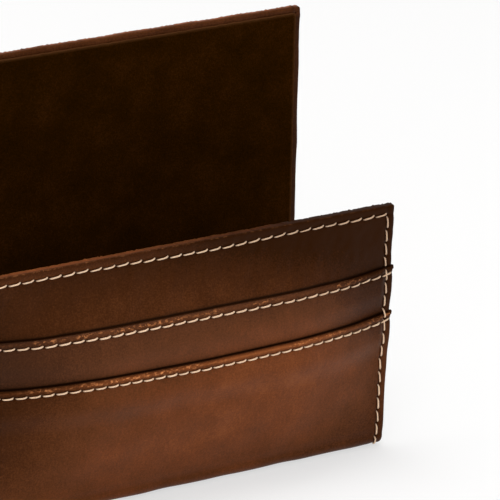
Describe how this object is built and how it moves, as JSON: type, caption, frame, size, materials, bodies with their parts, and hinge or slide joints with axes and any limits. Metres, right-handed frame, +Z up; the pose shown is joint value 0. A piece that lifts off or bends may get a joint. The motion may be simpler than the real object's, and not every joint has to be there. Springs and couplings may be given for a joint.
{
  "type": "letter holder",
  "caption": "Open-ended desk letter holder: a tall back panel, a low padded front panel with two hemmed card pockets, and a lined floor between them, covered in stitched leather.",
  "frame": {"origin": "under the middle of the holder's box, on the surface it stands on", "axes": "+Z up, the pockets and the low panel face -Y, +X along the width to the right as seen from the front"},
  "size_m": [0.141, 0.0694, 0.1288],
  "materials": {
    "board": "raw fibreboard",
    "brad_steel": "flat wire",
    "foam": "open-cell foam",
    "front_leather": "smooth waxed pull-up",
    "back_leather": "smooth waxed pull-up",
    "pocket_cloth": "thin woven",
    "suede": "napped",
    "felt": "felt",
    "thread": "waxed twisted thread"
  },
  "bodies": {
    "root": {"base_board": "board", "front_board": "board", "back_board": "board", "front_board_brads": "brad_steel", "back_board_brads": "brad_steel", "front_padding": "foam", "front_cover": "front_leather", "pocket_lining": "pocket_cloth", "upper_card_pocket": "front_leather", "lower_card_pocket": "front_leather", "back_cover": "back_leather", "front_lining": "suede", "base_lining": "suede", "back_lining": "suede", "base_pad": "felt", "front_top_stitching": "thread", "upper_pocket_stitching": "thread", "lower_pocket_stitching": "thread", "left_side_stitching": "thread", "right_side_stitching": "thread", "back_top_stitching": "thread"}
  },
  "joints": []
}
